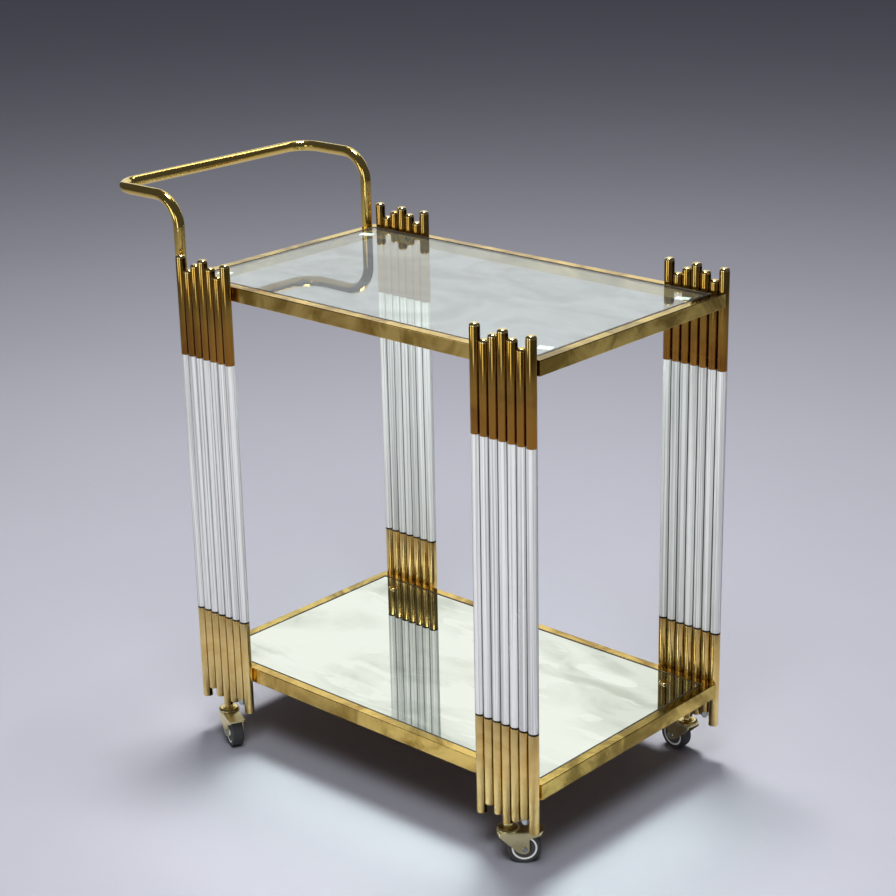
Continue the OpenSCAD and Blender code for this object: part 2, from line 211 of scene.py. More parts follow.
def cut(body, tool, how):
    """One solid from two: how is UNION, DIFFERENCE or INTERSECT."""
    pair = []
    for bm in (body, tool):
        mesh = bpy.data.meshes.new("solid")
        bm.to_mesh(mesh)
        bm.free()
        obj = bpy.data.objects.new("solid", mesh)
        bpy.context.scene.collection.objects.link(obj)
        pair.append(obj)
    change = pair[0].modifiers.new("cut", "BOOLEAN")
    change.operation = how
    change.solver = "EXACT"
    change.object = pair[1]
    bpy.context.view_layer.update()
    changed = pair[0].evaluated_get(bpy.context.evaluated_depsgraph_get())
    result = bmesh.new()
    result.from_mesh(changed.to_mesh())
    changed.to_mesh_clear()
    for obj in pair:
        mesh = obj.data
        bpy.data.objects.remove(obj)
        bpy.data.meshes.remove(mesh)
    bmesh.ops.remove_doubles(result, verts=result.verts, dist=1e-6)
    bmesh.ops.dissolve_limit(
        result, angle_limit=math.radians(0.5), verts=result.verts, edges=result.edges,
    )
    return result


def piece(name, bm, finish, nodes=(), body="cart", smooth=35, flat=False):
    """Makes the finished object, hands it to its body and hides the CAD nodes it stands for.

    A flat piece keeps its large faces level and turns only its rounded edges.
    """
    mesh = bpy.data.meshes.new(name)
    bm.to_mesh(mesh)
    bm.free()
    mesh.shade_smooth()
    mesh.set_sharp_from_angle(angle=math.radians(smooth))
    mesh.materials.append(finish)
    obj = bpy.data.objects.new(name, mesh)
    bpy.context.scene.collection.objects.link(obj)
    if flat:
        level = obj.modifiers.new("level", "WEIGHTED_NORMAL")
        level.mode = "FACE_AREA"
        level.weight = 100
        level.keep_sharp = True
    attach(obj, body)
    if nodes:
        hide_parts(*nodes)
    return obj


def paint(node, finish):
    """Gives a CAD node that stays a better material."""
    obj = frame["nodes"][node]
    for slot in obj.material_slots:
        slot.material = finish


# ---------- finishes ----------
class Number:
    """A number in a node tree. Sums on it add Math nodes."""

    def __init__(self, socket):
        self.socket = socket

    def _math(self, operation, other, reflected=False):
        tree = self.socket.id_data
        node = tree.nodes.new("ShaderNodeMath")
        node.operation = operation
        pair = (other, self) if reflected else (self, other)
        for slot, value in zip(node.inputs, pair):
            if isinstance(value, Number):
                tree.links.new(value.socket, slot)
            else:
                slot.default_value = value
        return Number(node.outputs[0])

    def __add__(self, other):
        return self._math("ADD", other)

    def __radd__(self, other):
        return self._math("ADD", other, True)

    def __sub__(self, other):
        return self._math("SUBTRACT", other)

    def __rsub__(self, other):
        return self._math("SUBTRACT", other, True)

    def __mul__(self, other):
        return self._math("MULTIPLY", other)

    def __rmul__(self, other):
        return self._math("MULTIPLY", other, True)


class Finish:
    """A material while its nodes are put together."""

    def __init__(self, name):
        self.material = bpy.data.materials.new(name)
        self.material.use_nodes = True
        self.tree = self.material.node_tree
        self.tree.nodes.clear()

    def node(self, kind, settings, sockets, output=0):
        """Adds a node: its settings first, then its sockets' values or links."""
        added = self.tree.nodes.new("ShaderNode" + kind)
        for key, value in settings.items():
            setattr(added, key, value)
        for key, value in sockets.items():
            if isinstance(value, Number):
                self.tree.links.new(value.socket, added.inputs[key])
            else:
                added.inputs[key].default_value = value
        return Number(added.outputs[output])

    def place(self, scale=(1, 1, 1), turn=(0, 0, 0)):
        """Where a point lies on the cart, in metres, after the turn and the scale."""
        own = self.node("TexCoord", {}, {}, "Object")
        return self.node("Mapping", {}, {"Vector": own, "Rotation": turn, "Scale": scale})

    def noise(self, at, scale, detail=3.0, rough=0.5, warp=0.0):
        """Smooth random patches from 0 to 1; the scale is the number of patches to a metre."""
        return self.node(
            "TexNoise", {"noise_dimensions": "3D"},
            {"Vector": at, "Scale": scale, "Detail": detail, "Roughness": rough, "Distortion": warp},
        )

    def ramp(self, value, low, high):
        """0 below low, 1 above high, smooth in between."""
        return self.node(
            "MapRange", {"interpolation_type": "SMOOTHSTEP"},
            {"Value": value, "From Min": low, "From Max": high, "To Min": 0.0, "To Max": 1.0},
        )

    def flank(self, low, high):
        """Near 1 where a tube's side faces the next tube of its row."""
        return self.ramp(self.node("Attribute", {"attribute_name": "flank"}, {}, "Fac"), low, high)

    def mix(self, share, first, second):
        """The first colour where the share is 0, the second where it is 1."""
        return self.node("Mix", {"data_type": "RGBA"}, {0: share, 6: first, 7: second}, 2)

    def bump(self, height, distance):
        """A surface raised by the distance where the height is 1."""
        return self.node("Bump", {}, {"Height": height, "Distance": distance, "Strength": 1.0})

    def done(self, shader):
        """The finished material, with the shader as its surface."""
        out = self.tree.nodes.new("ShaderNodeOutputMaterial")
        self.tree.links.new(shader.socket, out.inputs["Surface"])
        return self.material


def rgba(colour):
    """The colour with full opacity."""
    return (colour[0], colour[1], colour[2], 1.0)


def gold(name, pale, deep, gloss, grain, wave, gap=0.0, sparkle=0.0, crest=None):
    """Polished plate: cloudy tone, partly random and partly painted reflection of dark surroundings, wiped
    smears in the gloss, hair-fine polishing lines and a faint wave.

    The gap darkens the flanks of tubes that stand in a row with painted shade, for the shadow between
    neighbouring tubes; the sparkle ripples a bent tube. The crest is the tone that the upper sleeves take
    towards their caps, a painted lighter reflection.
    """
    f = Finish(name)
    own = f.place()
    lines = f.place(scale=grain)
    # The cloudy tone is partly painted reflection: its deep patches stand for dark surroundings mirrored in
    # the plate.
    tone = f.ramp(f.noise(own, 11.0, 5.0, 0.6, 0.9), 0.38, 0.64)
    smear = f.ramp(f.noise(f.place(scale=(1, 1, 0.6)), 46.0, 6.0, 0.6, 0.8), 0.45, 0.75)
    hair = f.noise(lines, 1.0, 2.0, 0.6)
    swell = f.noise(own, 15.0, 1.0, 0.4)
    spots = f.ramp(f.noise(own, 420.0, 2.0, 0.5), 0.70, 0.78)
    ripple = f.noise(own, 170.0, 1.0, 0.5)
    height = swell * wave + ripple * sparkle + hair * 0.010 + smear * 0.004 - spots * 0.02
    colour = f.mix(tone, rgba(pale), rgba(deep))
    # Painted reflection: the upper sleeves turn lighter towards their caps.
    if crest:
        level = f.node("SeparateXYZ", {}, {"Vector": own}, "Z")
        colour = f.mix(f.ramp(level, CREST_FROM, CREST_TO), colour, rgba(crest))
    # Painted shade: the flanks that face the next tube of the row go near black and rougher, for the shadow
    # between tubes.
    side = f.flank(0.87, 0.96) * gap
    shader = f.node("BsdfPrincipled", {}, {
        "Base Color": f.mix(side, colour, (0.030, 0.012, 0.003, 1.0)),
        "Metallic": 1.0,
        "Roughness": gloss + smear * 0.07 + hair * 0.04 + spots * 0.08 + side * 0.3,
        "Normal": f.bump(height, 0.4 * MM),
    })
    return f.done(shader)


def satin_plate(name, pale, deep, gloss):
    """Tumbled and plated sheet: fine matt speckle with rubbed, brighter patches."""
    f = Finish(name)
    own = f.place()
    tone = f.ramp(f.noise(own, 60.0, 4.0, 0.6), 0.35, 0.7)
    speckle = f.noise(own, 1500.0, 3.0, 0.6)
    rub = f.ramp(f.noise(own, 190.0, 3.0, 0.6, 0.6), 0.52, 0.7)
    shader = f.node("BsdfPrincipled", {}, {
        "Base Color": f.mix(tone, rgba(pale), rgba(deep)),
        "Metallic": 1.0,
        "Roughness": gloss + speckle * 0.10 - rub * 0.10,
        "Normal": f.bump(speckle * 0.6 + rub * 0.4, 0.03 * MM),
    })
    return f.done(shader)


def clear_acrylic(name, tint):
    """Cast acrylic rod: milky, with drawing lines along it that also streak its colour as painted
    reflection, faint clouding, and painted shade on the flanks that face the next rod of the row.
    """
    f = Finish(name)
    streak = f.noise(f.place(scale=(430, 430, 1.3)), 1.0, 3.0, 0.65)
    # Painted reflection: the drawing lines also darken the colour in streaks that stand for reflections.
    reflected_streak = f.ramp(streak, 0.44, 0.60)
    cloud = f.noise(f.place(), 26.0, 3.0, 0.5)
    body = f.mix(reflected_streak, rgba(tint), rgba([c * 0.60 for c in tint]))
    # Painted shade: the flanks that face the next rod of the row go dark, for the shadow between the rods.
    side = f.flank(0.89, 0.965)
    shader = f.node("BsdfPrincipled", {}, {
        "Base Color": f.mix(side, body, (0.10, 0.085, 0.07, 1.0)),
        "Roughness": 0.05 + reflected_streak * 0.10 + cloud * 0.05,
        "IOR": 1.49,
        "Transmission Weight": 0.22,
        "Normal": f.bump(streak, 0.35 * MM),
    })
    return f.done(shader)


def clear_glass(name, tint):
    """Float glass whose colour carries soft clouds, a painted reflection of cloudy surroundings. Light
    passes it to what is below.
    """
    f = Finish(name)
    # Painted reflection: the glass's colour darkens in soft clouds that stand for cloudy surroundings seen
    # in it.
    reflected_cloud = f.ramp(f.noise(f.place(scale=(1, 1.6, 1), turn=(0, 0, 0.5)), 4.2, 5.0, 0.6, 1.4), 0.40, 0.64)
    smear = f.ramp(f.noise(f.place(), 30.0, 5.0, 0.6, 0.6), 0.5, 0.8)
    glass = f.node("BsdfPrincipled", {}, {
        "Base Color": f.mix(reflected_cloud, rgba(tint), rgba([c * 0.80 for c in tint])),
        "Roughness": 0.008 + smear * 0.03,
        "IOR": 1.52,
        "Specular IOR Level": 0.9,
        "Transmission Weight": 0.97,
    })
    passed = f.node("BsdfTransparent", {}, {"Color": rgba([c * 0.93 for c in tint])})
    shadow = f.node("LightPath", {}, {}, "Is Shadow Ray")
    return f.done(f.node("MixShader", {}, {0: shadow, 1: glass, 2: passed}))


def mirror(name, tint, reflected_cloud_tone):
    """Silvered glass whose colour carries soft clouds and lighter streaks, a painted reflection of cloudy
    surroundings.
    """
    f = Finish(name)
    turn = f.place(scale=(1, 1.7, 1), turn=(0, 0, 0.75))
    cloud = f.ramp(f.noise(turn, 2.6, 4.0, 0.5, 0.9), 0.40, 0.66)
    fold = f.ramp(f.noise(turn, 6.5, 3.0, 0.45, 1.4), 0.42, 0.62)
    light = f.ramp(f.noise(f.place(scale=(1, 3.2, 1), turn=(0, 0, 0.55)), 5.0, 3.0, 0.5, 1.8), 0.56, 0.66)
    spots = f.ramp(f.noise(f.place(), 300.0, 2.0, 0.5), 0.72, 0.80)
    # Painted reflection: the soft clouds and lighter streaks in the colour stand for cloudy surroundings
    # seen in the mirror; the small specks are not.
    share = cloud * 0.5 + cloud * fold * 0.5 - light * 0.35 + spots * 0.2
    shader = f.node("BsdfPrincipled", {}, {
        "Base Color": f.mix(share, rgba(tint), rgba(reflected_cloud_tone)),
        "Metallic": 1.0,
        "Roughness": 0.012 + cloud * 0.03 + spots * 0.1,
        "Normal": f.bump(cloud * 0.2, 0.02 * MM),
    })
    return f.done(shader)


def plastic(name, colour, gloss, grain, mottle=0.12):
    """Moulded plastic or rubber with a fine skin and slight uneven tone."""
    f = Finish(name)
    own = f.place()
    tone = f.noise(own, 120.0, 4.0, 0.6)
    skin = f.noise(own, grain, 2.0, 0.6)
    dark = rgba([c * (1 - mottle) for c in colour])
    shader = f.node("BsdfPrincipled", {}, {
        "Base Color": f.mix(tone, rgba(colour), dark),
        "Roughness": gloss + skin * 0.12,
        "Normal": f.bump(skin, 0.02 * MM),
    })
    return f.done(shader)


def board_wood(name, pale, deep):
    """Stained board: long grain with pores."""
    f = Finish(name)
    along = f.place(scale=(3.0, 42.0, 42.0))
    warp = f.noise(f.place(scale=(2, 9, 9)), 1.0, 3.0, 0.6, 1.0)
    rings = f.noise(along, 1.0, 5.0, 0.65, 1.5)
    pore = f.ramp(f.noise(f.place(scale=(60, 900, 900)), 1.0, 2.0, 0.6), 0.60, 0.72)
    share = rings * 0.7 + warp * 0.3
    shader = f.node("BsdfPrincipled", {}, {
        "Base Color": f.mix(f.ramp(share + pore * 0.15, 0.35, 0.68), rgba(pale), rgba(deep)),
        "Roughness": 0.48 + rings * 0.18 + pore * 0.1,
        "Normal": f.bump(rings * 0.3 - pore, 0.06 * MM),
    })
    return f.done(shader)


def pale_floor(name, colour):
    """Plain matt floor with a slight grit."""
    f = Finish(name)
    own = f.place()
    tone = f.noise(own, 1.3, 5.0, 0.6)
    grit = f.noise(own, 240.0, 3.0, 0.6)
    dark = rgba([c * 0.93 for c in colour])
    shader = f.node("BsdfPrincipled", {}, {
        "Base Color": f.mix(tone, rgba(colour), dark),
        "Roughness": 0.62 + grit * 0.12,
        "Normal": f.bump(grit, 0.08 * MM),
    })
    return f.done(shader)


finished = {}


def finish(key):
    """The material of that name, made the first time it is asked for."""
    if key not in finished:
        tones = bpy.context.scene.bar_cart_tones
        long_grain = (12, 900, 900)
        cross_grain = (900, 12, 900)
        tall_grain = (900, 900, 12)
        even_grain = (300, 300, 300)
        makers = {
            "rail_gold": lambda: gold(key, tones.rail_pale, tones.rail_deep, 0.10, long_grain, 0.9),
            "end_gold": lambda: gold(key, tones.end_pale, tones.end_deep, 0.10, cross_grain, 0.9),
            # Upper sleeves: the sleeve gold in a darker, shaded copy (painted shade), with a painted lighter
            # reflection towards the caps.
            "upper_gold": lambda: gold(
                key, tones.upper_pale, tones.upper_deep, 0.13, tall_grain, 0.25,
                gap=1.0, crest=tones.upper_painted_crest,
            ),
            "lower_gold": lambda: gold(
                key, tones.lower_pale, tones.lower_deep, 0.16, tall_grain, 0.25, gap=1.0,
            ),
            "handle_gold": lambda: gold(
                key, tones.rail_pale, tones.end_pale, 0.08, even_grain, 0.5, sparkle=0.5,
            ),
            "cap_gold": lambda: gold(key, tones.cap_pale, tones.rail_pale, 0.10, even_grain, 0.3),
            "caster_gold": lambda: satin_plate(key, tones.caster_pale, tones.caster_deep, 0.34),
            "bright_gold": lambda: gold(key, tones.cap_pale, tones.caster_deep, 0.16, even_grain, 0.3),
            "zinc": lambda: satin_plate(key, (0.68, 0.72, 0.70), (0.50, 0.55, 0.52), 0.30),
            "steel": lambda: satin_plate(key, (0.62, 0.62, 0.60), (0.45, 0.45, 0.44), 0.28),
            "acrylic": lambda: clear_acrylic(key, tones.acrylic),
            "glass": lambda: clear_glass(key, tones.glass),
            "mirror": lambda: mirror(key, tones.mirror, tones.mirror_reflected_cloud),
            "ring_dark": lambda: gold(key, (0.05, 0.04, 0.03), (0.02, 0.018, 0.015), 0.25, tall_grain, 0.1),
            # Painted shade: near-black strips laid over the gaps round the glass and the mirror.
            "seal": lambda: plastic(key, (0.012, 0.012, 0.013), 0.50, 1200.0, 0.3),
            "board": lambda: board_wood(key, (0.24, 0.13, 0.06), (0.10, 0.045, 0.02)),
            "pad": lambda: plastic(key, (0.97, 0.97, 0.96), 0.42, 900.0, 0.03),
            "plug": lambda: plastic(key, (0.02, 0.02, 0.022), 0.45, 1400.0, 0.3),
            "core": lambda: plastic(key, (0.94, 0.94, 0.92), 0.30, 1600.0, 0.05),
            "disc": lambda: plastic(key, (0.075, 0.072, 0.068), 0.40, 1400.0, 0.25),
            "rubber": lambda: plastic(key, (0.050, 0.050, 0.052), 0.55, 1100.0, 0.3),
            "floor": lambda: pale_floor(key, tones.floor),
        }
        finished[key] = makers[key]()
    return finished[key]


# ---------- settings ----------
class BarCartSizes(PropertyGroup):
    rail_corner: FloatProperty(
        name="Rail corner", description="Radius of the long edges of the rails",
        default=1.2 * MM, min=0.2 * MM, max=4 * MM, unit="LENGTH", precision=4,
    )
    glass_edge: FloatProperty(
        name="Glass edge", description="Width of the ground edge of the glass and the mirror",
        default=0.6 * MM, min=0.1 * MM, max=1.5 * MM, unit="LENGTH", precision=4,
    )
    sleeve_wall: FloatProperty(
        name="Sleeve wall", description="Wall of the gold sleeves",
        default=1.0 * MM, min=0.6 * MM, max=2 * MM, unit="LENGTH", precision=4,
    )
    dome: FloatProperty(
        name="Dome", description="Height and edge radius of the tube caps",
        default=5.0 * MM, min=2 * MM, max=7 * MM, unit="LENGTH", precision=4,
    )
    leg_bend: FloatProperty(
        name="Leg bend", description="Radius of the handle's bend from leg to arm",
        default=48 * MM, min=30 * MM, max=60 * MM, unit="LENGTH", precision=4,
    )
    bar_bend: FloatProperty(
        name="Bar bend", description="Radius of the handle's bend from arm to bar",
        default=40 * MM, min=30 * MM, max=60 * MM, unit="LENGTH", precision=4,
    )
    tread_lines: IntProperty(
        name="Tread lines", description="Number of fine lines round each tyre",
        default=7, min=1, max=11,
    )


def tone(name, description, default):
    return FloatVectorProperty(
        name=name, description=description, default=default, size=3, subtype="COLOR", min=0.0, max=1.0,
    )


class BarCartTones(PropertyGroup):
    # The rails' deep tone is partly painted reflection: its dark patches stand for dark surroundings
    # mirrored in the plate.
    rail_pale: tone("Rail, pale", "Lighter tone of the gold on rails and handle", (0.86, 0.60, 0.17))
    rail_deep: tone("Rail, deep", "Deeper tone of the gold on rails and handle", (0.38, 0.23, 0.038))
    # The end rails are the rail gold in a darker, shaded copy: painted shade.
    end_pale: tone("End rail, pale", "Lighter tone of the end rails and the handle", (0.78, 0.57, 0.15))
    end_deep: tone("End rail, deep", "Deeper tone of the end rails and the handle", (0.27, 0.18, 0.03))
    # Painted shade and light: the upper and lower sleeves are one gold, the upper in a darker shaded copy
    # for the dark surroundings they reflect and the lower in a lit copy for the bright floor they reflect;
    # the crest is a painted lighter reflection near the caps.
    upper_pale: tone("Upper sleeve, pale", "Lighter tone of the upper sleeves", (0.37, 0.175, 0.030))
    upper_deep: tone("Upper sleeve, deep", "Deeper tone of the upper sleeves", (0.23, 0.098, 0.014))
    upper_painted_crest: tone("Upper sleeve, crest", "Tone of the upper sleeves near their caps", (0.52, 0.33, 0.07))
    lower_pale: tone("Lower sleeve, pale", "Lighter tone of the lower sleeves", (0.92, 0.68, 0.27))
    lower_deep: tone("Lower sleeve, deep", "Deeper tone of the lower sleeves", (0.74, 0.50, 0.16))
    cap_pale: tone("Cap", "Tone of the tube caps", (0.98, 0.80, 0.36))
    caster_pale: tone("Caster, pale", "Lighter tone of the caster forks", (0.90, 0.80, 0.46))
    caster_deep: tone("Caster, deep", "Deeper tone of the caster forks", (0.80, 0.68, 0.34))
    acrylic: tone("Acrylic", "Tint of the clear rods", (0.98, 0.985, 0.98))
    glass: tone("Glass", "Tint of the glass top", (0.90, 0.97, 0.94))
    mirror: tone("Mirror", "Tint of the mirror", (0.92, 0.95, 0.88))
    # Painted reflection: the clouding tone stands for cloudy surroundings seen in the mirror.
    mirror_reflected_cloud: tone("Mirror vein", "Tone of the clouding in the mirror", (0.58, 0.62, 0.54))
    floor: tone("Floor", "Colour of the floor", (0.58, 0.59, 0.68))


# ---------- frame ----------
def rail(node, side, corner):
    """A mitred rail, laid along X with its outer face to -Y and then turned to its side."""
    low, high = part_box(node)
    size = high - low
    turn = SIDES[side]
    length, width = (size.x, size.y) if turn % 2 == 0 else (size.y, size.x)
    bm = bmesh.new()
    bmesh.ops.create_cube(bm, size=1)
    bmesh.ops.scale(bm, vec=(length, width, size.z), verts=bm.verts)
    long_edges = [e for e in bm.edges if abs(e.verts[0].co.x - e.verts[1].co.x) > length / 2]
    bmesh.ops.bevel(
        bm, geom=long_edges, offset=corner, segments=5, profile=0.5,
        affect="EDGES", material=-1, clamp_overlap=True,
    )
    for end in (-1, 1):
        halved = bmesh.ops.bisect_plane(
            bm, geom=bm.verts[:] + bm.edges[:] + bm.faces[:],
            plane_co=(end * (length / 2), -width / 2, 0), plane_no=(end, 1, 0), clear_outer=True,
        )
        rim = [g for g in halved["geom_cut"] if isinstance(g, bmesh.types.BMEdge)]
        bmesh.ops.edgeloop_fill(bm, edges=rim)
    tidy(bm)
    place = Matrix.Translation((low + high) / 2) @ Matrix.Rotation(turn * QUARTER, 4, "Z")
    return add(bmesh.new(), bm, place)


class BARCART_OT_rails(Operator):
    """Makes the eight mitred rails of the two frames."""

    bl_idname = "bar_cart.rails"
    bl_label = "Rails"

    def execute(self, context):
        corner = context.scene.bar_cart_sizes.rail_corner
        for level in ("top", "lower"):
            for side in SIDES:
                node = f"{level}_rail_{side}"
                # The end rails take the darker copy of the rail gold, which is painted shade.
                tone_name = "rail_gold" if SIDES[side] % 2 == 0 else "end_gold"
                bm = rail(node, side, corner)
                piece(f"{level}_{side}_rail", bm, finish(tone_name), [node], flat=True)
            paint(f"{level}_ledge", finish("rail_gold"))
        return {"FINISHED"}


class BARCART_OT_fixings(Operator):
    """Makes the button-head screws inside the rails and the tie nuts, and finishes hidden fixings."""

    bl_idname = "bar_cart.fixings"
    bl_label = "Screws and nuts"

    def execute(self, context):
        heads = bmesh.new()
        for level, rise in SCREW_RISES.items():
            for corner in COLUMNS:
                side = "front" if corner.endswith("r") else "back"
                low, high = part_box(f"{level}_rail_{side}")
                out = -1 if side == "front" else 1
                face = high.y if side == "front" else low.y
                row = row_of_tubes("upper_sleeves_" + corner)
                for i in SCREW_TUBES:
                    head = turned(mm(
                        (0, 1.0, 0), (1.6, 1.0, 0), (1.9, 2.4, 0.2), (3.4, 2.1, 0.8), (4.4, 0.6, 0.3),
                        (4.4, 0, 0), (0, 0, 0),
                    ), steps=24)
                    place = moved(row[i][0], face, low.z + rise) @ Matrix.Rotation(out * QUARTER, 4, "X")
                    add(heads, head, place)
        piece("screw_heads", heads, finish("steel"), ["frame_screws"])
        nuts = bmesh.new()
        for corner in COLUMNS:
            x, y, foot, _ = row_of_tubes("lower_sleeves_" + corner)[NUT_TUBE]
            nut = hex_nut(NUT_RADIUS, TIE_NUT_HEIGHT)
            add(nuts, nut, moved(x, y, foot - TIE_NUT_HEIGHT))
            tail = turned(mm((0, 0, 0), (4, 0, 0.8), (4, 4.5, 0), (0, 4.5, 0)), steps=24)
            add(nuts, tail, moved(x, y, foot - TIE_NUT_HEIGHT - TIE_TAIL))
        piece("column_tie_nuts", nuts, finish("zinc"), ["tie_nuts"], flat=True)
        paint("tie_rods", finish("steel"))
        paint("stem_sockets", finish("steel"))
        paint("end_plugs", finish("plug"))
        return {"FINISHED"}


# ---------- shelves ----------
class BARCART_OT_shelves(Operator):
    """Makes the glass top with its pads, and the mirror shelf with its caps and board."""

    bl_idname = "bar_cart.shelves"
    bl_label = "Shelves"

    def execute(self, context):
        edge = context.scene.bar_cart_sizes.glass_edge
        for node, name, kind, slot in (
            ("top_glass", "glass_top", "glass", "shelf_glass"),
            ("mirror_panel", "mirror_shelf", "mirror", "mirror_glass"),
        ):
            low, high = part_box(node)
            bm = add(bmesh.new(), block(high - low, edge), Matrix.Translation((low + high) / 2))
            piece(name, bm, finish(kind), [node], flat=True)
        self.seals()
        self.pads()
        self.caps()
        paint("backing_board", finish("board"))
        return {"FINISHED"}

    def seals(self):
        """Flat dark strips that cover the gap round the glass and round the mirror: painted shade for the
        shadow in that gap.
        """
        gap = 1.0 * MM
        wide = 2.4 * MM
        thin = 0.35 * MM
        play = 0.1 * MM
        sunk = 0.02 * MM
        seals = bmesh.new()
        for node in ("top_glass", "mirror_panel"):
            low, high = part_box(node)
            middle = (low + high) / 2
            out = (high - low) / 2 + Vector((gap, gap, 0))
            z = high.z + thin / 2 - sunk
            reach = out - Vector((wide + play, wide + play, 0)) / 2
            for side in (-1, 1):
                strip = block((2 * out.x - play, wide, thin), 0.1 * MM, 2)
                add(seals, strip, moved(middle.x, middle.y + side * reach.y, z))
                strip = block((wide, 2 * (out.y - wide) - play, thin), 0.1 * MM, 2)
                add(seals, strip, moved(middle.x + side * reach.x, middle.y, z))
        piece("shelf_seals", seals, finish("seal"))

    def pads(self):
        """The four pads under the glass, each turned a little."""
        low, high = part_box("glass_pads")
        middle = (low + high) / 2
        pads = bmesh.new()
        half_x = (PAD_LENGTH * math.cos(PAD_TURN) + PAD_WIDTH * math.sin(PAD_TURN)) / 2
        half_y = (PAD_LENGTH * math.sin(PAD_TURN) + PAD_WIDTH * math.cos(PAD_TURN)) / 2
        reach = Vector(((high.x - low.x) / 2 - half_x, (high.y - low.y) / 2 - half_y))
        for sx in (-1, 1):
            for sy in (-1, 1):
                pad = block((PAD_LENGTH, PAD_WIDTH, PAD_HEIGHT), 0.3 * MM)
                place = moved(middle.x + sx * reach.x, middle.y + sy * reach.y, middle.z)
                add(pads, pad, place @ Matrix.Rotation(PAD_TURN, 4, "Z"))
        piece("corner_pads", pads, finish("pad"), ["glass_pads"], flat=True)

    def caps(self):
        """The two round caps on the mirror's back corners."""
        low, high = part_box("mirror_caps")
        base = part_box("mirror_panel")[1].z
        caps = bmesh.new()
        for x in (low.x + MIRROR_CAP_RADIUS, high.x - MIRROR_CAP_RADIUS):
            cap = turned(mm((0, 0, 0), (9, 0, 0), (9, 3, 1.8), (6, 2.7, 0.5), (0, 2.8, 0)), steps=48)
            add(caps, cap, moved(x, (low.y + high.y) / 2, base))
        piece("mirror_screw_caps", caps, finish("cap_gold"), ["mirror_caps"])


# ---------- columns ----------
class BARCART_OT_columns(Operator):
    """Makes the sleeves, clear rods, dark rings and domed caps of the four columns."""

    bl_idname = "bar_cart.columns"
    bl_label = "Columns"

    def execute(self, context):
        sizes = context.scene.bar_cart_sizes
        near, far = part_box("upper_sleeves_fr")
        radius = (far.y - near.y) / 2
        bore = radius - sizes.sleeve_wall
        spigot = bore - SPIGOT_PLAY
        lip = TUBE_LIP
        ring_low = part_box("seam_rings")[0].z
        ring_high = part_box("seam_rings")[1].z
        caps = bmesh.new()
        rings = bmesh.new()
        for corner in COLUMNS:
            upper = bmesh.new()
            lower = bmesh.new()
            rods = bmesh.new()
            for i, (x, y, low, high) in enumerate(row_of_tubes("upper_sleeves_" + corner)):
                tube = mark_flanks(sleeve(radius, bore, high - low, lip), radius, i)
                add(upper, tube, moved(x, y, low))
                cap = turned([
                    (0, -CAP_PLUG, 0), (bore, -CAP_PLUG, lip), (bore, 0, 0), (radius - lip, 0, 0),
                    (radius, lip, 0), (radius, sizes.dome, sizes.dome * 0.94), (0, sizes.dome, 0),
                ])
                add(caps, cap, moved(x, y, high))
                rod_top = low
            for i, (x, y, low, high) in enumerate(row_of_tubes("lower_sleeves_" + corner)):
                tube = mark_flanks(sleeve(radius, bore, high - low, lip), radius, i)
                add(lower, tube, moved(x, y, low))
                ring = turned([
                    (spigot, 0, 0), (radius, 0, lip), (radius, ring_high - ring_low, lip),
                    (spigot, ring_high - ring_low, 0),
                ], closed=True)
                add(rings, ring, moved(x, y, ring_low))
            for i, (x, y, low, high) in enumerate(row_of_tubes("clear_rods_" + corner)):
                rod = turned([
                    (0, low, 0), (spigot, low, 0), (spigot, ring_high, 0), (radius, ring_high, lip),
                    (radius, rod_top, lip), (spigot, rod_top, 0), (spigot, high, 0), (0, high, 0),
                ], steps=56)
                add(rods, mark_flanks(rod, radius, i), moved(x, y, 0))
            piece(f"upper_tubes_{corner}", upper, finish("upper_gold"),
                  ["upper_sleeves_" + corner])
            piece(f"lower_tubes_{corner}", lower, finish("lower_gold"),
                  ["lower_sleeves_" + corner])
            piece(f"acrylic_rods_{corner}", rods, finish("acrylic"),
                  ["clear_rods_" + corner])
        piece("tube_domes", caps, finish("cap_gold"), ["dome_caps"])
        piece("joint_rings", rings, finish("ring_dark"), ["seam_rings"])
        return {"FINISHED"}


def mark_flanks(bm, radius, i):
    """Notes at each point how squarely tube i faces its neighbours in the row."""
    layer = bm.verts.layers.float.new("flank")
    for v in bm.verts:
        ahead = v.co.x / radius if i < TUBES - 1 else 0
        behind = -v.co.x / radius if i > 0 else 0
        v[layer] = max(ahead, behind)
    return bm


def sleeve(radius, bore, length, lip):
    """A gold sleeve with its ends broken by the lip, from z = 0 up."""
    return turned([
        (bore, 0, lip), (radius, 0, lip), (radius, length, lip), (bore, length, lip),
    ], closed=True)


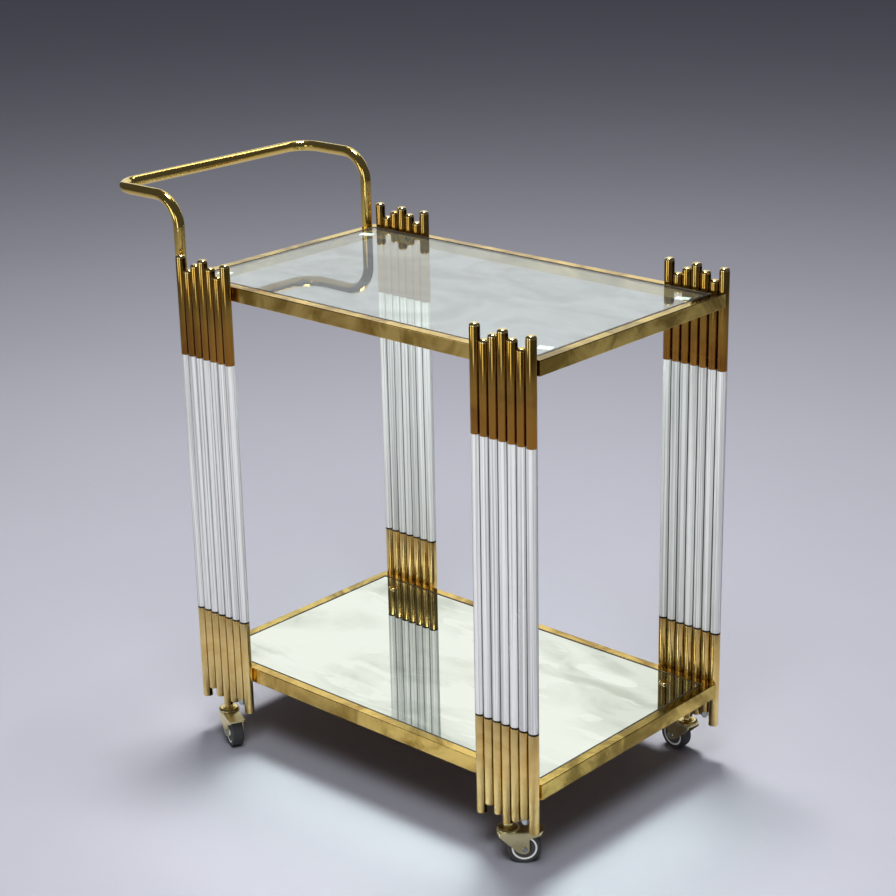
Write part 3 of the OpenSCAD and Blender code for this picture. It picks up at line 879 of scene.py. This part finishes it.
# ---------- handle ----------
class BARCART_OT_handle(Operator):
    """Bends the handle: a leg, an arm and half the bar, mirrored across the cart."""

    bl_idname = "bar_cart.handle"
    bl_label = "Handle"

    def execute(self, context):
        sizes = context.scene.bar_cart_sizes
        low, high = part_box("handle")
        radius = HANDLE_RADIUS
        half = high.y - radius
        top = high.z - radius
        bar_x = low.x + radius
        leg_x = high.x - radius
        bm = bmesh.new()
        start = bmesh.ops.create_circle(bm, cap_ends=True, radius=radius, segments=48)
        bmesh.ops.translate(bm, vec=(leg_x, half, low.z), verts=start["verts"])
        rim = bm.edges[:]
        rim = self.push(bm, rim, (0, 0, top - sizes.leg_bend - low.z))
        rim = self.bend(bm, rim, (leg_x - sizes.leg_bend, half, top - sizes.leg_bend), (0, -1, 0))
        rim = self.push(bm, rim, (bar_x + sizes.bar_bend - (leg_x - sizes.leg_bend), 0, 0))
        rim = self.bend(bm, rim, (bar_x + sizes.bar_bend, half - sizes.bar_bend, top), (0, 0, 1))
        self.push(bm, rim, (0, -(half - sizes.bar_bend), 0))
        bmesh.ops.mirror(bm, geom=bm.verts[:] + bm.edges[:] + bm.faces[:], axis="Y", merge_dist=1e-5)
        tidy(bm)
        soften(bm, math.radians(60), 0.8 * MM, 3)
        piece("handle_tube", bm, finish("handle_gold"), ["handle"])
        return {"FINISHED"}

    def push(self, bm, rim, step):
        """Draws the rim out along the step and returns the new rim."""
        grown = bmesh.ops.extrude_edge_only(bm, edges=rim)["geom"]
        bmesh.ops.translate(bm, vec=step, verts=[g for g in grown if isinstance(g, bmesh.types.BMVert)])
        return [g for g in grown if isinstance(g, bmesh.types.BMEdge)]

    def bend(self, bm, rim, centre, axis):
        """Sweeps the rim through a quarter turn about the axis and returns the new rim."""
        swept = bmesh.ops.spin(bm, geom=rim, cent=centre, axis=axis, angle=QUARTER, steps=24)
        return [g for g in swept["geom_last"] if isinstance(g, bmesh.types.BMEdge)]


# ---------- casters ----------
def hex_nut(radius, height):
    """A hexagon nut with its corners turned down, from z = 0 up."""
    bm = bmesh.new()
    bmesh.ops.create_circle(bm, cap_ends=True, radius=radius, segments=6)
    grown = bmesh.ops.extrude_face_region(bm, geom=bm.faces[:])
    lifted = [g for g in grown["geom"] if isinstance(g, bmesh.types.BMVert)]
    bmesh.ops.translate(bm, vec=(0, 0, height), verts=lifted)
    tidy(bm)
    chamfer = 0.9 * MM
    cone = turned([
        (0, 0, 0), (radius * 0.88, 0, 0), (radius * 1.02, chamfer, 0),
        (radius * 1.02, height - chamfer, 0), (radius * 0.88, height, 0), (0, height, 0),
    ], steps=48)
    return soften(cut(bm, cone, "INTERSECT"), math.radians(50), 0.2 * MM)


def fork_shape(top, axle_z, trail):
    """A pressed fork: a round crown, two tapering legs with round feet and a short hood."""
    inside = FORK_INSIDE / 2
    outside = inside + FORK_SHEET
    crown_foot = top - 2.5 * MM
    channel = plate([
        (-outside, 0, 0), (-outside, top, 3.4 * MM), (outside, top, 3.4 * MM), (outside, 0, 0),
        (inside, 0, 0), (inside, crown_foot, 1.4 * MM),
        (-inside, crown_foot, 1.4 * MM), (-inside, 0, 0),
    ], 80 * MM)
    # The channel's section is drawn in XY, so it is stood up and run along X.
    upright = Matrix.Rotation(QUARTER, 4, "Z") @ Matrix.Rotation(QUARTER, 4, "X")
    channel = add(bmesh.new(), channel, moved(-20 * MM, 0, 0) @ upright)
    foot = axle_z - 7.3 * MM
    toe = trail + 7.3 * MM
    side = plate([
        (-16.5 * MM, top + MM, 0), (-16.5 * MM, top - 4.5 * MM, 1.5 * MM),
        (trail - 7.3 * MM, foot, 6.5 * MM), (toe, foot, 6.5 * MM),
        (toe, top - 11.5 * MM, 3 * MM), (42 * MM, top - 8.5 * MM, 2.5 * MM),
        (50 * MM, top - 4.5 * MM, 3 * MM), (52 * MM, top - 1 * MM, 1 * MM), (52 * MM, top + MM, 0),
    ], 60 * MM)
    side = add(bmesh.new(), side, moved(0, 30 * MM, 0) @ Matrix.Rotation(QUARTER, 4, "X"))
    legs = cut(channel, side, "INTERSECT")
    plan = plate([
        (-16.9 * MM, -outside - MM, 9 * MM), (52 * MM, -outside - MM, 9 * MM),
        (52 * MM, outside + MM, 9 * MM), (-16.9 * MM, outside + MM, 9 * MM),
    ], 90 * MM)
    legs = cut(legs, add(bmesh.new(), plan, moved(0, 0, -10 * MM)), "INTERSECT")
    crown = turned([
        (0, crown_foot, 0), (RACE_RADIUS, crown_foot, 0.4 * MM), (RACE_RADIUS, top, 1.2 * MM), (0, top, 0),
    ], steps=64)
    return soften(cut(legs, crown, "UNION"), math.radians(48), 0.3 * MM)


class BARCART_OT_casters(Operator):
    """Makes the four casters: race plate, nut, fork, axle and wheel."""

    bl_idname = "bar_cart.casters"
    bl_label = "Casters"

    def execute(self, context):
        nuts = bmesh.new()
        plates = bmesh.new()
        plate_low, plate_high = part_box("race_plates")
        nut_low, nut_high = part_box("caster_nuts")
        for corner in COLUMNS:
            swivel, axle, heading = caster_place(corner)
            nut = hex_nut(NUT_RADIUS, nut_high.z - nut_low.z)
            turn = Matrix.Rotation(heading, 4, "Z")
            add(nuts, nut, moved(swivel.x, swivel.y, nut_low.z) @ turn)
            height = plate_high.z - plate_low.z
            dish = turned([
                (4 * MM, height, 0), (9 * MM, height, 0.5 * MM), (10.4 * MM, height - 0.7 * MM, 0.5 * MM),
                (14.6 * MM, height - 0.9 * MM, 1.6 * MM), (RACE_RADIUS, 1.4 * MM, 0.8 * MM),
                (RACE_RADIUS, 0, 0.3 * MM), (15.5 * MM, 0, 0), (15.5 * MM, height - 2.9 * MM, 0),
                (13 * MM, height - 2 * MM, 0), (4 * MM, height - 2 * MM, 0),
            ], closed=True, steps=56)
            add(plates, dish, moved(swivel.x, swivel.y, plate_low.z))
            self.moving_parts(corner, swivel, axle, heading, context.scene.bar_cart_sizes.tread_lines)
        piece("stem_nuts", nuts, finish("bright_gold"), ["caster_nuts"], flat=True)
        piece("bearing_plates", plates, finish("bright_gold"), ["race_plates"])
        paint("race_balls", finish("steel"))
        paint("caster_stems", finish("zinc"))
        return {"FINISHED"}

    def moving_parts(self, corner, swivel, axle, heading, lines):
        """The fork and its rivet on the swivel, and the wheel on the axle."""
        name = COLUMNS[corner]
        fork_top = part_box("fork_" + corner)[1].z
        trail = (axle - swivel).to_2d().length
        turn = Matrix.Rotation(heading, 4, "Z")
        fork = fork_shape(fork_top, axle.z, trail)
        fork = add(bmesh.new(), fork, moved(swivel.x, swivel.y, 0) @ turn)
        body = "caster_" + name
        piece(f"caster_fork_{corner}", fork, finish("caster_gold"), ["fork_" + corner],
              body, flat=True)
        along = moved(*axle) @ turn @ Matrix.Rotation(QUARTER, 4, "X")
        rivet = turned(mm(
            (0, -15.2, 0), (1.8, -15.2, 0), (2.3, -16, 0.2), (4.5, -15.7, 0.7), (4.5, -14, 0),
            (3, -14, 0), (3, 14, 0),
            (4.5, 14, 0), (4.5, 15.7, 0.7), (2.3, 16, 0.2), (1.8, 15.2, 0), (0, 15.2, 0),
        ), steps=32)
        axle_bm = add(bmesh.new(), rivet, along)
        piece(f"axle_rivet_{corner}", axle_bm, finish("zinc"), ["axle_" + corner], body)
        body = "wheel_" + name
        core = turned(mm(
            (3.05, -11.7, 0.3), (7, -11.7, 0.5), (7, -7, 0), (16.4, -7, 0), (16.4, -9, 0.4),
            (19.3, -9, 0.5), (19.3, 9, 0.5),
            (16.4, 9, 0.4), (16.4, 7, 0), (7, 7, 0), (7, 11.7, 0.5), (3.05, 11.7, 0.3),
        ), closed=True, steps=64)
        bm = add(bmesh.new(), core, along)
        piece(f"wheel_ring_{corner}", bm, finish("core"), ["wheel_core_" + corner], body)
        discs = bmesh.new()
        for out in (-1, 1):
            disc = turned(mm(
                (7.05, 7.05, 0), (16.35, 7.05, 0), (16.35, 8.7, 0.3), (14.6, 8.7, 0.3),
                (13.8, 8.1, 0.3), (9.2, 8.3, 0.3), (8.4, 9, 0.3), (7.05, 9, 0.2),
            ), closed=True, steps=56)
            flip = Matrix.Identity(4) if out > 0 else Matrix.Rotation(math.pi, 4, "X")
            add(discs, disc, along @ flip)
        piece(f"wheel_discs_{corner}", discs, finish("disc"), ["hub_discs_" + corner], body)
        bm = add(bmesh.new(), tyre_shape(TYRE_RADIUS, TYRE_BORE, TYRE_WIDTH, lines), along)
        piece(f"wheel_tyre_{corner}", bm, finish("rubber"), ["tyre_" + corner], body, 50)


def tyre_shape(radius, bore, width, lines):
    """A tyre with rounded shoulders and fine lines round its tread."""
    edge = width / 2
    points = [(bore, -edge, 0.4 * MM), (radius, -edge, 3 * MM)]
    tread = width - 7 * MM
    groove = 0.3 * MM
    sunk = radius - 0.45 * MM
    for i in range(lines):
        middle = -tread / 2 + tread * i / (lines - 1)
        points += [
            (radius, middle - groove, 0), (sunk, middle - groove * 0.5, 0),
            (sunk, middle + groove * 0.5, 0), (radius, middle + groove, 0),
        ]
    points += [(radius, edge, 3 * MM), (bore, edge, 0.4 * MM)]
    return turned(points, closed=True, steps=72)


# ---------- stage ----------
def softbox(name, spot, target, size, watts, colour=(1, 1, 1), glossy=True):
    """A soft rectangular lamp at spot that faces target; one that isn't glossy stays out of reflections."""
    lamp = bpy.data.lights.new(name, "AREA")
    lamp.shape = "RECTANGLE"
    lamp.size, lamp.size_y = size
    lamp.energy = watts
    lamp.color = colour
    obj = bpy.data.objects.new(name, lamp)
    obj.location = spot
    obj.rotation_euler = (Vector(target) - Vector(spot)).to_track_quat("-Z", "Y").to_euler()
    obj.visible_camera = False
    obj.visible_glossy = glossy
    bpy.context.scene.collection.objects.link(obj)
    return obj


class BARCART_OT_stage(Operator):
    """Lays the floor, sets the lamps and stands the camera."""

    bl_idname = "bar_cart.stage"
    bl_label = "Floor, lamps and camera"

    def execute(self, context):
        scene = context.scene
        bm = bmesh.new()
        bmesh.ops.create_grid(bm, x_segments=1, y_segments=1, size=40)
        mesh = bpy.data.meshes.new("floor")
        bm.to_mesh(mesh)
        bm.free()
        mesh.materials.append(finish("floor"))
        floor = bpy.data.objects.new("floor", mesh)
        scene.collection.objects.link(floor)
        softbox("key", (-0.5, 0.6, 4.2), (0.0, 0.1, 0), (0.9, 0.9), 135, (1.0, 0.98, 0.95))
        softbox(
            "overhead", (1.5, -1.7, 3.8), (1.0, -1.1, 0), (1.6, 1.6), 62, (0.97, 0.98, 1.0), glossy=False,
        )
        low_lamps = (
            softbox("card", (-2.2, 2.4, 1.55), (0.1, 0.0, 0.8), (3.6, 1.7), 17, (0.98, 1.0, 0.95)),
            softbox("bar", (-0.95, 1.65, 2.75), (-0.3, 0.0, 0.9), (1.8, 0.35), 7),
            softbox("side", (-1.0, -2.2, 0.9), (0.0, -1.2, 0.0), (1.0, 0.6), 4),
            softbox("streak", (0.9, -3.2, 1.0), (0.1, 0.0, 0.6), (1.0, 1.6), 9),
            softbox("front", (1.2, -3.0, 1.1), (0.1, 0.0, 0.5), (1.2, 1.2), 36, glossy=False),
        )
        unlit = bpy.data.collections.new("kept dark by the low lamps")
        unlit.objects.link(floor)
        unlit.collection_objects[0].light_linking.link_state = "EXCLUDE"
        for lamp in low_lamps:
            lamp.light_linking.receiver_collection = unlit
        world = bpy.data.worlds.new("studio")
        world.use_nodes = True
        backdrop = world.node_tree.nodes["Background"]
        backdrop.inputs["Color"].default_value = (0.30, 0.31, 0.36, 1)
        backdrop.inputs["Strength"].default_value = 0.22
        scene.world = world
        scene.view_settings.view_transform = "Standard"
        self.camera(scene)
        return {"FINISHED"}

    def camera(self, scene):
        """Stands the camera: its heading, its dip and its lean are in radians."""
        heading = 2.3115
        dip = 0.3417
        lean = -0.0208
        ahead = Vector((math.cos(heading), math.sin(heading), 0))
        across = Vector((math.sin(heading), -math.cos(heading), 0))
        up = Vector((0, 0, 1))
        look = ahead * math.cos(dip) - up * math.sin(dip)
        rise = ahead * math.sin(dip) + up * math.cos(dip)
        right = across * math.cos(lean) + rise * math.sin(lean)
        top = rise * math.cos(lean) - across * math.sin(lean)
        lens = bpy.data.cameras.new("camera")
        lens.sensor_width = 36
        lens.lens = 84.0
        lens.clip_start = 0.05
        lens.clip_end = 200
        camera = bpy.data.objects.new("camera", lens)
        stand = Matrix.Translation((2.1824, -2.29936, 1.62988))
        camera.matrix_world = stand @ Matrix((right, top, -look)).transposed().to_4x4()
        scene.collection.objects.link(camera)
        scene.camera = camera


OPERATORS = (
    BARCART_OT_rails,
    BARCART_OT_shelves,
    BARCART_OT_columns,
    BARCART_OT_handle,
    BARCART_OT_casters,
    BARCART_OT_fixings,
    BARCART_OT_stage,
)


class BARCART_PT_panel(Panel):
    """Lists the cart's settings and its pieces."""

    bl_label = "Bar cart"
    bl_idname = "BARCART_PT_panel"
    bl_space_type = "VIEW_3D"
    bl_region_type = "UI"
    bl_category = "Bar cart"

    def draw(self, context):
        for settings in (context.scene.bar_cart_sizes, context.scene.bar_cart_tones):
            box = self.layout.box()
            for key in settings.__annotations__:
                box.prop(settings, key)
        for operator in OPERATORS:
            self.layout.operator(operator.bl_idname)


CLASSES = (BarCartSizes, BarCartTones) + OPERATORS + (BARCART_PT_panel,)


def register():
    for cls in CLASSES:
        bpy.utils.register_class(cls)
    bpy.types.Scene.bar_cart_sizes = PointerProperty(type=BarCartSizes)
    bpy.types.Scene.bar_cart_tones = PointerProperty(type=BarCartTones)


def unregister():
    del bpy.types.Scene.bar_cart_tones
    del bpy.types.Scene.bar_cart_sizes
    for cls in reversed(CLASSES):
        bpy.utils.unregister_class(cls)


def main():
    register()
    bpy.ops.bar_cart.rails()
    bpy.ops.bar_cart.shelves()
    bpy.ops.bar_cart.columns()
    bpy.ops.bar_cart.handle()
    bpy.ops.bar_cart.casters()
    bpy.ops.bar_cart.fixings()
    bpy.ops.bar_cart.stage()


if __name__ == "__main__":
    main()
